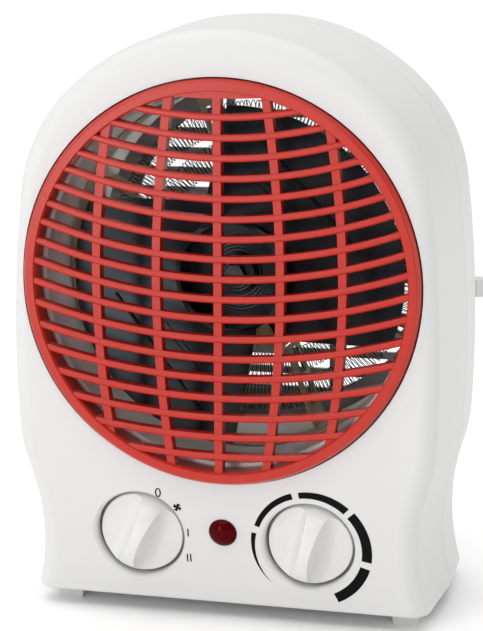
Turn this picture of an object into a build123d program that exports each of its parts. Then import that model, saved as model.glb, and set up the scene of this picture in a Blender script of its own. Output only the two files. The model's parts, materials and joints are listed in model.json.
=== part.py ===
from build123d import *
import os
from math import asin, cos, degrees, radians, sin, tan

# Upright fan heater: a two-shell housing, a round front grille, a fan that blows
# through the grille, a ring of heating wire behind it, and the controls below.
# Millimetres. +Z is up and the front faces -Y. The origin is on the floor, under
# the middle of the heater. "Depth" is counted backwards from the flat front face.

# ---- housing outline, seen from the front: tangent arcs from the crown down one side ----
grille_height = 152.0                          # centre of the grille above the floor
crown_rise = 110.4                             # from there up to the crown
crown_radius, crown_angle = 100.2, 47.6
shoulder_radius, shoulder_angle = 72.2, 35.4
flank_radius, flank_angle = 582.0, 10.6
hip_radius, hip_angle = 61.3, 15.3
waist_radius = 93.0                            # hollow curve that runs out to the base
foot_height = 7.1                              # from the floor to the underside
# ---- housing depth ----
body_depth = 113.6
seam_depth = 58.6
seam_gap = 0.4
front_draft, rear_draft = 2.6, 3.2             # degrees that each shell leans in from the seam
front_edge_radius, rear_edge_radius, base_edge_radius = 8.2, 20.0, 2.0
crown_roll_start, crown_roll_radius = 97.0, 20.0
chin_drop, chin_radius = 40.0, 480.0           # the front leans back this far below the centre
wall = 2.4
# ---- grille ----
ring_radius, ring_inner_radius = 87.2, 81.8
ring_stand = 3.0                               # how far the ring stands ahead of the face
ring_bevel = 1.1
ring_gap = 0.7
seat_depth, seat_thickness, seat_lip = 8.5, 2.0, 5.7
collar_wall = 2.4
bar_count, bar_pitch, top_bar_rise = 18, 8.58, 71.1
bar_height, bar_depth, bar_set_back, bar_bevel = 2.8, 5.5, 0.6, 0.7
bar_bend, bar_bend_growth = 1 / 242.0, 1.85e-5 # curvature at the centre, and its rise with height
upright_width, upright_depth, upright_set_back = 3.5, 5.0, 1.6
upright_pitch, upright_outer_inset = 27.2, 0.4
upright_bend_radii = (515.0, 400.0)
web_rise, web_bend_radius = 79.0, 290.0
# ---- controls, square to the leaning panel ----
knob_height, knob_spread = 37.5, 38.2
knob_radius, knob_gap = 18.8, 1.2
knob_crest, knob_sink = 9.8, 4.5               # crest above and rim below the panel
knob_skirt, knob_rim_step = 0.9, 0.4
knob_ridge, knob_ridge_draft = 4.6, 13.0        # grip fin: width at the crest, degrees it widens by
knob_face, knob_fall, knob_scoop_radius = 2.2, 1.4, 7.0
well_lip, well_clearance, well_floor = 2.2, 3.0, 2.0
shaft_grip, shaft_tail = 9.0, 6.0
bushing_radius, bushing_stand, nut_across, nut_height = 3.8, 0.4, 5.8, 1.8
switch_width, switch_height, switch_length = 28.0, 26.0, 18.0
thermostat_width, thermostat_height, thermostat_length = 26.0, 20.0, 13.0
tab_width, tab_thickness, tab_length, case_corner = 6.3, 0.8, 8.0, 2.0
selector_angle, thermostat_angle = 25.0, 15.0  # pointers at rest, clockwise from straight up
shaft_radius, shaft_clearance = 3.0, 0.05
lamp_height, lamp_radius, lamp_dome, lamp_neck = 41.6, 6.3, 3.2, 4.6
lamp_holder_length, lamp_holder_wall = 16.0, 2.0
# ---- air duct ----
duct_radius, duct_wall, duct_rear_depth = 80.6, 0.8, 88.0
duct_flange = 6.0
band_depth, band_width, band_thickness = 42.0, 15.0, 0.5
# ---- fan ----
fan_radius, blade_thickness, blade_stations = 74.2, 1.8, 10
blade_front_depth, blade_rear_depth = 16.0, 38.0
blade_start, blade_sweep = 152.0, 180.0        # degrees clockwise from straight up
blade_front_edge, blade_front_lean, blade_rear_edge, blade_root = 12.0, 11.0, 30.5, 16.0
hub_radius, hub_front_depth, hub_rear_depth = 25.0, 20.0, 42.0
hub_wall, hub_web_depth, hub_web = 2.0, 33.0, 3.0
boss_radius, boss_front_depth, fan_nut_radius, fan_nut_length = 8.5, 28.0, 4.6, 3.0
# ---- heating element ----
element_depth, board_width, board_thickness = 72.0, 22.0, 0.8
board_count, board_start = 8, 25.0
outer_wire_radii, inner_wire_radii = (58.5, 71.8), (44.0, 56.0)
board_inner_radius = 41.5
window_depth, window_margin = 9.0, 0.4
wire_size, loops_per_board = 0.7, 7
cutout_angle, cutout_length, cutout_width = 227.0, 10.0, 14.0
cutout_height, cutout_corner = 5.0, 2.0
fuse_angle, fuse_radius, fuse_length = 272.0, 2.0, 12.0
# ---- motor ----
shaft_size, shaft_end_play = 2.5, 2.0
stack_depth, stack_thickness = 67.0, 14.0
stack_half_width, stack_top, stack_bottom, stack_corner = 20.0, 18.0, 34.0, 2.5
rotor_radius, rotor_gap = 12.0, 0.4
leg_height, window_height, window_half_width = 9.0, 8.0, 13.0
coil_build, coil_corner, coil_air = 5.5, 3.0, 0.2
bearing_radius, bearing_length, bearing_stand, bearing_clearance = 5.0, 6.0, 1.0, 0.05
bridge_rise, bridge_height, bridge_thickness, bridge_toe = 7.0, 12.0, 1.2, 3.9
motor_screw_spread, motor_screw_radius, motor_screw_end = 16.2, 1.8, 2.0
screw_clearance, spacer_wall = 0.1, 1.6
bracket_depth, bracket_thickness, bracket_height = 92.0, 1.5, 26.0
bracket_half_length, post_spread, post_radius = 85.0, 79.0, 4.5
bracket_flange, bracket_slot_spread = 5.0, 48.0
bracket_slot_length, bracket_slot_width = 24.0, 14.0
# ---- rear shell ----
vent_radius, vent_rows, vent_pitch, vent_slot = 74.0, 15, 9.4, 6.0
vent_rib_spread, vent_rib = 25.0, 4.0
lug_height, lug_size, lug_stand, lug_drop = 8.0, 11.0, 0.2, 16.0
lug_slope, lug_tip, lug_edge = 2.0, 3.0, 0.9
gland_spread, gland_height, gland_radius, gland_bore = 52.0, 34.0, 6.5, 3.6
gland_flange, gland_flange_depth, gland_tail, gland_tail_radius = 8.6, 1.9, 12.0, 5.0
block_width, block_length, block_height, block_depth = 40.0, 16.0, 14.0, 84.0
block_ways, block_corner, block_well_radius = 3, 1.5, 2.6
# ---- fixings ----
upper_boss_inset, upper_boss_rise = 34.0, 76.0
lower_boss_inset, lower_boss_drop = 36.0, 90.0
boss_wall_radius, screw_radius, head_radius, head_height = 4.8, 1.6, 3.4, 2.2
shell_screw_length, bracket_screw_length, screw_room = 22.0, 9.0, 3.0
foot_inset, foot_width, foot_length, foot_taper = 19.4, 12.0, 12.0, 6.0
front_foot_depth, rear_foot_depth = 29.5, 88.0
peg_radius, peg_length = 2.6, 5.0
seat_air = 0.3                                 # usual gap between a piece and its seat

# ---- worked out from the sizes above ----
body_top = grille_height + crown_rise
crown_end = radians(crown_angle)
shoulder_end = radians(crown_angle + shoulder_angle)
half_width = (crown_radius * sin(crown_end) + shoulder_radius * (sin(shoulder_end) - sin(crown_end))
              + flank_radius * (1 - sin(shoulder_end)))
chin_top = grille_height - chin_drop
panel_lean = asin((chin_top - knob_height) / chin_radius)
panel_set_back = chin_radius * (1 - cos(panel_lean))
knob_dome = knob_crest + knob_sink
dome_radius = (knob_radius ** 2 + knob_dome ** 2) / (2 * knob_dome)
knob_lead = dome_radius - panel_set_back + (knob_crest - dome_radius) * cos(panel_lean)
face_y = (knob_lead - body_depth) / 2          # the knobs' crests are as far out as the rear face
back_y = face_y + body_depth
seam_y = face_y + seam_depth
ring_front_y = face_y - ring_stand
seat_y = face_y + seat_depth
opening_radius = ring_radius + ring_gap
air_axis = Axis((0, 0, grille_height), (0, 1, 0))
stack_front_y = face_y + stack_depth
stack_rear_y = stack_front_y + stack_thickness
front_bridge_y = stack_front_y - bridge_rise
rear_bridge_y = stack_rear_y + bridge_rise
bracket_y = face_y + bracket_depth
well_depth = knob_sink + knob_skirt + well_clearance
well_radius = knob_radius + knob_gap
duct_front_y = seat_y + seat_thickness + seat_air
lining_radius = duct_radius - seat_air         # what lies inside the duct ends here
lug_reach = half_width + lug_stand


def facing_front(y, x=0.0, z=0.0):
    """Upright plane at y, seen from the front: local x is +X, local y is +Z."""
    return Plane(origin=(x, y, z), x_dir=(1, 0, 0), z_dir=(0, -1, 0))


def on_panel(x, height=knob_height):
    """Plane square to the leaning control panel, where its surface is at this height."""
    lean = asin((chin_top - height) / chin_radius)
    y = face_y + chin_radius * (1 - cos(lean))
    return Plane(origin=(x, y, height), x_dir=(1, 0, 0), z_dir=(0, -cos(lean), -sin(lean)))


def along_radius(angle):
    """Plane through the air axis: local x runs outwards at this clock angle, local y is +Y."""
    turn = radians(angle)
    return Plane(origin=(0, 0, grille_height), x_dir=(sin(turn), 0, cos(turn)),
                 z_dir=(-cos(turn), 0, sin(turn)))


def housing_outline(plane, inset):
    """Front outline of the housing, drawn in by inset and carried a little below its base."""
    run_on = 6.0
    lean = radians(crown_angle + shoulder_angle + flank_angle + hip_angle - 90)
    with BuildSketch(plane) as outline:
        with BuildLine():
            crown = JernArc((0, body_top - inset), (1, 0), crown_radius - inset, -crown_angle)
            shoulder = JernArc(crown @ 1, crown % 1, shoulder_radius - inset, -shoulder_angle)
            flank = JernArc(shoulder @ 1, shoulder % 1, flank_radius - inset, -flank_angle)
            hip = JernArc(flank @ 1, flank % 1, hip_radius - inset, -hip_angle)
            waist_z = (hip @ 1).Y - (waist_radius + inset) * sin(lean)
            drop = waist_z - (foot_height + inset - run_on)
            swing = degrees(lean + asin(drop / (waist_radius + inset)))
            waist = JernArc(hip @ 1, hip % 1, waist_radius + inset, swing)
            Polyline(waist @ 1, (0, (waist @ 1).Y), (0, body_top - inset))
        make_face()
        mirror(about=Plane.YZ)
    return outline.sketch


def housing_form(inset):
    """Solid form of the whole housing, drawn in by inset: outer skin at 0, cavity at wall."""
    floor_z = foot_height + inset
    front_y = face_y + inset
    with BuildPart() as form:
        extrude(housing_outline(facing_front(seam_y), inset), amount=seam_y - front_y, taper=front_draft)
        rear_plane = Plane(origin=(0, seam_y, 0), x_dir=(-1, 0, 0), z_dir=(0, 1, 0))
        extrude(housing_outline(rear_plane, inset), amount=back_y - inset - seam_y, taper=rear_draft)
        split(bisect_by=Plane.XY.offset(floor_z), keep=Keep.TOP)
        with BuildSketch(Plane.YZ):
            with BuildLine():
                fall_angle = degrees(asin(chin_top / (chin_radius - inset)))
                fall = JernArc((front_y, chin_top), (0, -1), chin_radius - inset, fall_angle)
                Polyline(fall @ 1, (back_y, 0), (back_y, body_top), (front_y, body_top), (front_y, chin_top))
            make_face()
        extrude(amount=2 * half_width, both=True, mode=Mode.INTERSECT)
        with BuildSketch(Plane.XY.offset(grille_height)):
            with BuildLine():
                roll = JernArc((crown_roll_start, front_y), (1, 0), crown_roll_radius - inset, 90)
                Polyline(roll @ 1, (body_top, (roll @ 1).Y), (body_top, front_y - wall),
                         (crown_roll_start, front_y - wall), (crown_roll_start, front_y))
            make_face()
        revolve(axis=Axis((0, 0, grille_height), (0, -1, 0)), revolution_arc=180, mode=Mode.SUBTRACT)
        front_faces = [face for face in form.faces() if face.normal_at().Y < -0.5]
        edges = [edge for face in front_faces for edge in face.edges()]
        rim = [edge for edge in edges if sum(edge.is_same(other) for other in edges) == 1]
        rim = [edge for edge in rim if edge.bounding_box().max.Z > floor_z + 0.5]
        fillet(rim, radius=front_edge_radius - inset)
        rear_rim = [edge for edge in form.faces().sort_by(Axis.Y)[-1].edges()
                    if edge.bounding_box().max.Z > floor_z + 0.5]
        fillet(rear_rim, radius=rear_edge_radius - inset)
        if inset < base_edge_radius:
            fillet(form.faces().sort_by(Axis.Z)[0].edges(), radius=base_edge_radius)
        with BuildSketch(Plane.YZ):
            with BuildLine():
                rear_y, radius = back_y - inset, rear_edge_radius - inset
                under = JernArc((rear_y - radius, floor_z), (1, 0), radius, 90)
                Polyline(under @ 1, (back_y, floor_z + radius), (back_y, 0), (rear_y - radius, 0), under @ 0)
            make_face()
        extrude(amount=2 * half_width, both=True, mode=Mode.SUBTRACT)
    return form.part


outer_form = housing_form(0)
cavity = housing_form(wall)

# Where the screws pass between the shells: (x, z), the upper pair and the lower pair.
screw_places = [(side * (half_width - inset), grille_height + rise) for side in (-1, 1)
                for inset, rise in ((upper_boss_inset, upper_boss_rise),
                                    (lower_boss_inset, -lower_boss_drop))]
foot_places = [(side * (half_width - foot_inset), face_y + depth) for side in (-1, 1)
               for depth in (front_foot_depth, rear_foot_depth)]

# ---- front shell: collar and seat for the grille, two knob wells, lamp hole, screw bosses ----
with BuildPart() as inner_works:
    with BuildSketch(Plane.XY.offset(grille_height)):
        with BuildLine():
            Polyline((opening_radius, face_y), (opening_radius + collar_wall, face_y),
                     (opening_radius + collar_wall, seat_y + seat_thickness),
                     (opening_radius - seat_lip, seat_y + seat_thickness),
                     (opening_radius - seat_lip, seat_y), (opening_radius, seat_y), close=True)
        make_face()
    revolve(axis=air_axis)
    for side in (-1, 1):
        with BuildSketch(on_panel(side * knob_spread)):
            Circle(well_radius + well_lip + wall)
        extrude(amount=-well_depth - well_floor)
    for x, z in screw_places:
        with BuildSketch(facing_front(seam_y - seam_gap / 2)):
            with Locations((x, z)):
                Circle(boss_wall_radius)
        extrude(amount=seam_y - face_y)
    add(outer_form, mode=Mode.INTERSECT)

with BuildPart() as front_shell:
    add(outer_form)
    add(cavity, mode=Mode.SUBTRACT)
    split(bisect_by=facing_front(seam_y - seam_gap / 2), keep=Keep.TOP)
    with BuildSketch(facing_front(seat_y)):
        with Locations((0, grille_height)):
            Circle(opening_radius)
    extrude(amount=seat_depth + wall, mode=Mode.SUBTRACT)
    add(inner_works.part)
    for side in (-1, 1):
        axis_plane = on_panel(side * knob_spread)
        across = Plane(origin=axis_plane.origin, x_dir=axis_plane.x_dir, z_dir=-axis_plane.y_dir)
        with BuildSketch(across):
            with BuildLine():
                lip_side = well_lip * (1 - cos(radians(45)))
                mouth = Polyline((well_radius, -well_lip), (well_radius, -well_depth), (0, -well_depth),
                                 (0, wall), (well_radius + well_lip, wall), (well_radius + well_lip, 0))
                ThreePointArc(mouth @ 1, (well_radius + lip_side, -lip_side), mouth @ 0)
            make_face()
        revolve(axis=Axis(axis_plane.origin, axis_plane.z_dir), mode=Mode.SUBTRACT)
        with BuildSketch(axis_plane):
            Circle(bushing_radius + 2 * screw_clearance)
        extrude(amount=-well_depth - 2 * well_floor, mode=Mode.SUBTRACT)
    with BuildSketch(on_panel(0, lamp_height)):
        Circle(lamp_neck + 2 * screw_clearance)
    extrude(amount=2 * wall, both=True, mode=Mode.SUBTRACT)
    for x, z in screw_places:
        with BuildSketch(facing_front(seam_y)):
            with Locations((x, z)):
                Circle(screw_radius + screw_clearance)
        extrude(amount=shell_screw_length, mode=Mode.SUBTRACT)
    for x, y in foot_places:
        if y < seam_y:
            with BuildSketch(Plane.XY):
                with Locations((x, y)):
                    Circle(peg_radius + screw_clearance)
            extrude(amount=foot_height + 2 * wall, mode=Mode.SUBTRACT)

# ---- rear shell: air intake, screw tubes, motor posts, lugs to wind a lead on, gland hole ----
with BuildPart() as rear_works:
    for x, z in screw_places:
        with BuildSketch(facing_front(seam_y + seam_gap / 2)):
            with Locations((x, z)):
                Circle(boss_wall_radius)
        extrude(amount=-body_depth)
    for side in (-1, 1):
        with BuildSketch(facing_front(bracket_y + bracket_thickness)):
            with Locations((side * post_spread, grille_height)):
                Circle(post_radius)
        extrude(amount=-body_depth)
    with BuildSketch(facing_front(back_y)):
        with Locations((-gland_spread, gland_height)):
            Circle(gland_flange + wall)
    extrude(amount=2 * wall)
    add(outer_form, mode=Mode.INTERSECT)

with BuildPart() as lug:
    with BuildSketch(Plane.XY.offset(grille_height - lug_drop - lug_height / 2)):
        with BuildLine():
            Polyline((half_width - rear_edge_radius, back_y - wall),
                     (lug_reach - lug_slope, back_y - lug_slope / 2),
                     (lug_reach, back_y - lug_size + lug_slope), (lug_reach - lug_tip, back_y - lug_size),
                     (half_width - rear_edge_radius, back_y - lug_size), close=True)
        make_face()
    extrude(amount=lug_height)
    fillet(lug.edges().filter_by(Axis.Z).sort_by(Axis.X)[-3:], radius=lug_edge)
    add(cavity, mode=Mode.SUBTRACT)

with BuildPart() as rear_shell:
    add(outer_form)
    add(cavity, mode=Mode.SUBTRACT)
    split(bisect_by=facing_front(seam_y + seam_gap / 2), keep=Keep.BOTTOM)
    add(rear_works.part)
    add(lug.part)
    add(lug.part.mirror(Plane.YZ))
    with BuildSketch(facing_front(back_y, z=grille_height)):
        with GridLocations(1, vent_pitch, 1, vent_rows):
            Rectangle(2 * vent_radius, vent_slot)
        Circle(vent_radius, mode=Mode.INTERSECT)
        with Locations((-vent_rib_spread, 0), (vent_rib_spread, 0)):
            Rectangle(vent_rib, 2 * vent_radius, mode=Mode.SUBTRACT)
    extrude(amount=1.5 * wall, both=True, mode=Mode.SUBTRACT)
    for x, z in screw_places:
        with BuildSketch(facing_front(back_y)):
            with Locations((x, z)):
                Circle(head_radius + screw_clearance)
        extrude(amount=back_y - seam_y - seam_gap - head_height - wall, mode=Mode.SUBTRACT)
        with BuildSketch(facing_front(back_y)):
            with Locations((x, z)):
                Circle(screw_radius + screw_clearance)
        extrude(amount=body_depth, mode=Mode.SUBTRACT)
    for side in (-1, 1):
        with BuildSketch(facing_front(bracket_y)):
            with Locations((side * post_spread, grille_height)):
                Circle(screw_radius + screw_clearance)
        extrude(amount=-bracket_screw_length - screw_room, mode=Mode.SUBTRACT)
    for radius, depth in ((gland_radius, 2 * wall), (gland_flange, gland_flange_depth)):
        with BuildSketch(facing_front(back_y)):
            with Locations((-gland_spread, gland_height)):
                Circle(radius + screw_clearance)
        extrude(amount=depth, mode=Mode.SUBTRACT)
    for x, y in foot_places:
        if y > seam_y:
            with BuildSketch(Plane.XY):
                with Locations((x, y)):
                    Circle(peg_radius + screw_clearance)
            extrude(amount=foot_height + 2 * wall, mode=Mode.SUBTRACT)

# ---- grille: every bar is a turned strip whose centre lies above it, so it sags like a smile ----
with BuildPart() as front_grille:
    bar_front_y = ring_front_y + bar_set_back
    crest = bar_height / 2
    for index in range(bar_count):
        rise = top_bar_rise - index * bar_pitch
        bend_radius = 1 / (bar_bend + bar_bend_growth * rise)
        turning_z = grille_height + rise + bend_radius
        with BuildSketch(Plane.YZ):
            with BuildLine():
                bar_z = turning_z - bend_radius
                Polyline((bar_front_y + bar_bevel, bar_z - crest), (bar_front_y + bar_depth, bar_z - crest),
                         (bar_front_y + bar_depth, bar_z + crest), (bar_front_y + bar_bevel, bar_z + crest),
                         (bar_front_y, bar_z + crest - bar_bevel), (bar_front_y, bar_z - crest + bar_bevel),
                         close=True)
            make_face()
        reach = degrees(asin(ring_radius / bend_radius))
        turn_axis = Axis((0, 0, turning_z), (0, 1, 0))
        half = revolve(axis=turn_axis, revolution_arc=reach, mode=Mode.PRIVATE)
        add(half)
        add(half.mirror(Plane.YZ))
    upright_front_y = ring_front_y + upright_set_back
    with BuildSketch(facing_front(upright_front_y, z=grille_height)):
        Rectangle(upright_width, 2 * ring_radius)
    extrude(amount=-upright_depth)
    for order, bend_radius in enumerate(upright_bend_radii, start=1):
        middle = order * upright_pitch - (order - 1) * upright_outer_inset
        with BuildSketch(facing_front(upright_front_y, z=grille_height)):
            with Locations((middle - bend_radius, 0)):
                Circle(bend_radius + upright_width / 2)
                Circle(bend_radius - upright_width / 2, mode=Mode.SUBTRACT)
            with Locations((middle, 0)):
                Rectangle(middle, 2 * ring_radius, mode=Mode.INTERSECT)
        bent = extrude(amount=-upright_depth, mode=Mode.PRIVATE)
        add(bent)
        add(bent.mirror(Plane.YZ))
    with BuildSketch(facing_front(bar_front_y, z=grille_height)):
        Circle(ring_radius)
        with Locations((0, web_rise + web_bend_radius)):
            Circle(web_bend_radius, mode=Mode.INTERSECT)
    extrude(amount=-bar_depth)
    with BuildSketch(facing_front(ring_front_y, z=grille_height)):
        Circle((ring_inner_radius + ring_radius) / 2)
    extrude(amount=-seat_depth, mode=Mode.INTERSECT)
    with BuildSketch(Plane.XY.offset(grille_height)):
        with BuildLine():
            Polyline((ring_inner_radius, ring_front_y + ring_bevel),
                     (ring_inner_radius + ring_bevel / 2, ring_front_y),
                     (ring_radius - 1.5 * ring_bevel, ring_front_y),
                     (ring_radius - ring_bevel, ring_front_y + ring_bevel / 2),
                     (ring_radius, face_y - ring_bevel / 4), (ring_radius, seat_y - seat_air),
                     (ring_inner_radius, seat_y - seat_air), close=True)
        make_face()
    revolve(axis=air_axis)


# ---- knobs and their shafts ----
def knob(plane, pointer_angle):
    """A dome scooped on both sides, so that a grip fin crosses it at this clock angle."""
    crossways = plane.x_dir.rotate(Axis(plane.origin, plane.z_dir), -pointer_angle)
    turned = Plane(origin=plane.origin, x_dir=crossways, z_dir=plane.z_dir)
    across = Plane(origin=turned.origin, x_dir=turned.x_dir, z_dir=-turned.y_dir)
    rim, middle = -knob_sink, knob_crest - dome_radius
    rim_angle = degrees(asin((rim - middle) / dome_radius))
    with BuildPart() as body:
        with BuildSketch(across):
            with BuildLine():
                dome = CenterArc((0, middle), dome_radius, rim_angle, 90 - rim_angle)
                Polyline(dome @ 1, (0, rim - knob_skirt), (knob_radius - knob_rim_step, rim - knob_skirt), dome @ 0)
            make_face()
        revolve(axis=Axis(turned.origin, turned.z_dir))
        with BuildSketch(across) as scoops:
            face = rim + knob_face
            foot = knob_ridge / 2 + (knob_crest - face) * tan(radians(knob_ridge_draft))
            clear = knob_radius + knob_skirt
            with BuildLine():
                Polyline((knob_ridge / 2, knob_crest), (foot, face), (clear, face - knob_fall),
                         (clear, knob_crest + wall), (knob_ridge / 2, knob_crest + wall), close=True)
            make_face()
            fillet(scoops.vertices().sort_by_distance((foot, face))[0], radius=knob_scoop_radius)
            mirror(about=Plane.YZ)
        extrude(amount=2 * knob_radius, both=True, mode=Mode.SUBTRACT)
        with BuildSketch(turned.offset(rim - knob_skirt)):
            Circle(shaft_radius + shaft_clearance)
        extrude(amount=shaft_grip, mode=Mode.SUBTRACT)
    return body


def control_shaft(plane):
    """Round shaft that runs from inside its control up into the knob."""
    top = shaft_grip - knob_sink - knob_skirt - seat_air
    with BuildPart() as body:
        with BuildSketch(plane.offset(top)):
            Circle(shaft_radius)
        extrude(amount=-top - well_depth - well_floor - shaft_tail)
    return body


def control_nut(plane):
    """Hexagon nut on the bushing, on the floor of the knob well."""
    with BuildPart() as body:
        with BuildSketch(plane.offset(-well_depth)):
            RegularPolygon(nut_across, 6, major_radius=False)
            Circle(bushing_radius + shaft_clearance, mode=Mode.SUBTRACT)
        extrude(amount=nut_height)
    return body


def control_body(plane, width, height, length, tabs):
    """Switch or thermostat case under the well floor, with its bushing and its tabs."""
    top = -well_depth - well_floor
    with BuildPart() as body:
        with BuildSketch(plane.offset(top)):
            RectangleRounded(width, height, case_corner)
        extrude(amount=-length)
        with BuildSketch(plane.offset(top)):
            Circle(bushing_radius)
        extrude(amount=well_floor + nut_height + bushing_stand)
        with BuildSketch(plane.offset(top - length)):
            with GridLocations(width / 3, height / 2, tabs, 2):
                Rectangle(tab_thickness, tab_width)
        extrude(amount=-tab_length)
        with BuildSketch(plane.offset(top + well_floor + nut_height + bushing_stand)):
            Circle(shaft_radius + shaft_clearance)
        extrude(amount=-well_floor - nut_height - bushing_stand - shaft_tail - seat_air, mode=Mode.SUBTRACT)
    return body


selector_plane, thermostat_plane = on_panel(-knob_spread), on_panel(knob_spread)
selector_knob = knob(selector_plane, selector_angle)
thermostat_knob = knob(thermostat_plane, thermostat_angle)
selector_shaft = control_shaft(selector_plane)
thermostat_shaft = control_shaft(thermostat_plane)
selector_nut = control_nut(selector_plane)
thermostat_nut = control_nut(thermostat_plane)
selector_switch = control_body(selector_plane, switch_width, switch_height, switch_length, 3)
thermostat_body = control_body(thermostat_plane, thermostat_width, thermostat_height, thermostat_length, 2)

# ---- pilot lamp ----
lamp_plane = on_panel(0, lamp_height)
lamp_across = Plane(origin=lamp_plane.origin, x_dir=lamp_plane.x_dir, z_dir=-lamp_plane.y_dir)
lamp_bulge = (lamp_radius ** 2 + lamp_dome ** 2) / (2 * lamp_dome)
with BuildPart() as pilot_lens:
    with BuildSketch(lamp_across):
        with BuildLine():
            edge_angle = degrees(asin((lamp_bulge - lamp_dome) / lamp_bulge))
            glow = CenterArc((0, lamp_dome - lamp_bulge + seat_air), lamp_bulge, edge_angle, 90 - edge_angle)
            Polyline(glow @ 1, (0, -2 * wall), (lamp_neck, -2 * wall), (lamp_neck, seat_air), glow @ 0)
        make_face()
    revolve(axis=Axis(lamp_plane.origin, lamp_plane.z_dir))
with BuildPart() as lamp_holder:
    with BuildSketch(lamp_plane.offset(-wall - seat_air)):
        Circle(lamp_neck + lamp_holder_wall)
    extrude(amount=-lamp_holder_length)
    with BuildSketch(lamp_plane.offset(-wall - seat_air)):
        Circle(lamp_neck + 2 * shaft_clearance)
    extrude(amount=-2 * wall, mode=Mode.SUBTRACT)

# ---- air duct: a rolled metal tube with a front flange, and the mica band inside it ----
with BuildPart() as duct_liner:
    with BuildSketch(Plane.XY.offset(grille_height)):
        with BuildLine():
            Polyline((duct_radius, duct_front_y), (duct_radius + duct_flange, duct_front_y),
                     (duct_radius + duct_flange, duct_front_y + duct_wall),
                     (duct_radius + duct_wall, duct_front_y + duct_wall),
                     (duct_radius + duct_wall, face_y + duct_rear_depth),
                     (duct_radius, face_y + duct_rear_depth), close=True)
        make_face()
    revolve(axis=air_axis)
with BuildPart() as duct_band:
    with BuildSketch(facing_front(face_y + band_depth, z=grille_height)):
        Circle(lining_radius)
        Circle(lining_radius - band_thickness, mode=Mode.SUBTRACT)
    extrude(amount=-band_width)

# ---- heating element: radial mica boards, with the two zigzag rings through their windows ----
with BuildPart() as element_boards:
    for index in range(board_count):
        with BuildSketch(along_radius(board_start + index * 360 / board_count)):
            with Locations(((board_inner_radius + lining_radius) / 2, face_y + element_depth)):
                Rectangle(lining_radius - board_inner_radius, board_width)
            for inner, outer in (outer_wire_radii, inner_wire_radii):
                with Locations(((inner + outer) / 2, face_y + element_depth)):
                    Rectangle(outer - inner + 2 * window_margin, window_depth, mode=Mode.SUBTRACT)
        extrude(amount=board_thickness / 2, both=True)


def wire_ring(radii):
    """One closed zigzag of wire: a loop out and in, so many times between two boards."""
    loops = board_count * loops_per_board
    corners = [(radii[step % 2] * sin(radians(board_start + step * 180 / loops)),
                radii[step % 2] * cos(radians(board_start + step * 180 / loops)))
               for step in range(2 * loops)]
    with BuildPart() as ring:
        with BuildSketch(facing_front(face_y + element_depth - wire_size / 2, z=grille_height)):
            with BuildLine():
                Polyline(*corners, close=True)
            trace(line_width=wire_size)
            Circle(radii[1] + wire_size / 2, mode=Mode.INTERSECT)
            Circle(radii[0] - wire_size / 2, mode=Mode.SUBTRACT)
        extrude(amount=-wire_size)
    return ring


outer_wire_ring = wire_ring(outer_wire_radii)
inner_wire_ring = wire_ring(inner_wire_radii)


def on_duct_wall(angle, depth):
    """Plane that faces the air axis from the duct wall, at this clock angle and depth."""
    turn = radians(angle)
    out = Vector(sin(turn), 0, cos(turn))
    return Plane(origin=Vector(0, face_y + depth, grille_height) + out * lining_radius,
                 x_dir=(0, 1, 0), z_dir=-out)


with BuildPart() as thermal_cutout:
    with BuildSketch(on_duct_wall(cutout_angle, element_depth).offset(seat_air)):
        RectangleRounded(cutout_length, cutout_width, cutout_corner)
    extrude(amount=cutout_height)
with BuildPart() as thermal_fuse:
    fuse_wall = on_duct_wall(fuse_angle, element_depth).offset(fuse_radius + seat_air)
    with BuildSketch(Plane(origin=fuse_wall.origin, x_dir=fuse_wall.x_dir, z_dir=fuse_wall.y_dir)):
        Circle(fuse_radius)
    extrude(amount=fuse_length / 2, both=True)

# ---- fan: two wide blades, each a helix cut to its outline, on a cup-shaped hub ----
with BuildPart() as blade:
    for index in range(blade_stations):
        share = index / (blade_stations - 1)
        section = along_radius(blade_start + share * blade_sweep)
        blade_y = face_y + blade_front_depth + share * (blade_rear_depth - blade_front_depth)
        with BuildSketch(section):
            with Locations(((hub_radius - hub_wall / 2 + 1.05 * fan_radius) / 2, blade_y)):
                Rectangle(1.05 * fan_radius - hub_radius + hub_wall / 2, blade_thickness)
    loft()
    with BuildSketch(facing_front(face_y, z=grille_height)):
        with BuildLine():
            far = 1.5 * fan_radius
            Polyline((blade_front_edge, 0), (blade_front_edge, -hub_radius),
                     (blade_front_edge - blade_front_lean, -fan_radius),
                     (blade_front_edge - blade_front_lean, -far), (-far, -far), (-far, blade_rear_edge),
                     (-blade_root, blade_rear_edge), (0, 0), close=True)
        make_face()
        Circle(fan_radius, mode=Mode.INTERSECT)
    extrude(amount=-hub_rear_depth, mode=Mode.INTERSECT)
with BuildPart() as fan_impeller:
    with BuildSketch(Plane.XY.offset(grille_height)):
        bore = shaft_size + shaft_clearance
        hub_front_y, hub_rear_y = face_y + hub_front_depth, face_y + hub_rear_depth
        web_y, boss_front_y = face_y + hub_web_depth, face_y + boss_front_depth
        with BuildLine():
            Polyline((bore, boss_front_y), (boss_radius, boss_front_y), (boss_radius, web_y),
                     (hub_radius - hub_wall, web_y), (hub_radius - hub_wall, hub_front_y),
                     (hub_radius, hub_front_y), (hub_radius, hub_rear_y), (hub_radius - hub_wall, hub_rear_y),
                     (hub_radius - hub_wall, web_y + hub_web), (boss_radius, web_y + hub_web),
                     (boss_radius, hub_rear_y), (bore, hub_rear_y), close=True)
        make_face()
    revolve(axis=air_axis)
    add(blade.part)
    add(blade.part.rotate(air_axis, 180))
with BuildPart() as fan_nut:
    with BuildSketch(facing_front(face_y + boss_front_depth, z=grille_height)):
        RegularPolygon(fan_nut_radius, 6)
        Circle(shaft_size + shaft_clearance, mode=Mode.SUBTRACT)
    extrude(amount=fan_nut_length)

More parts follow.
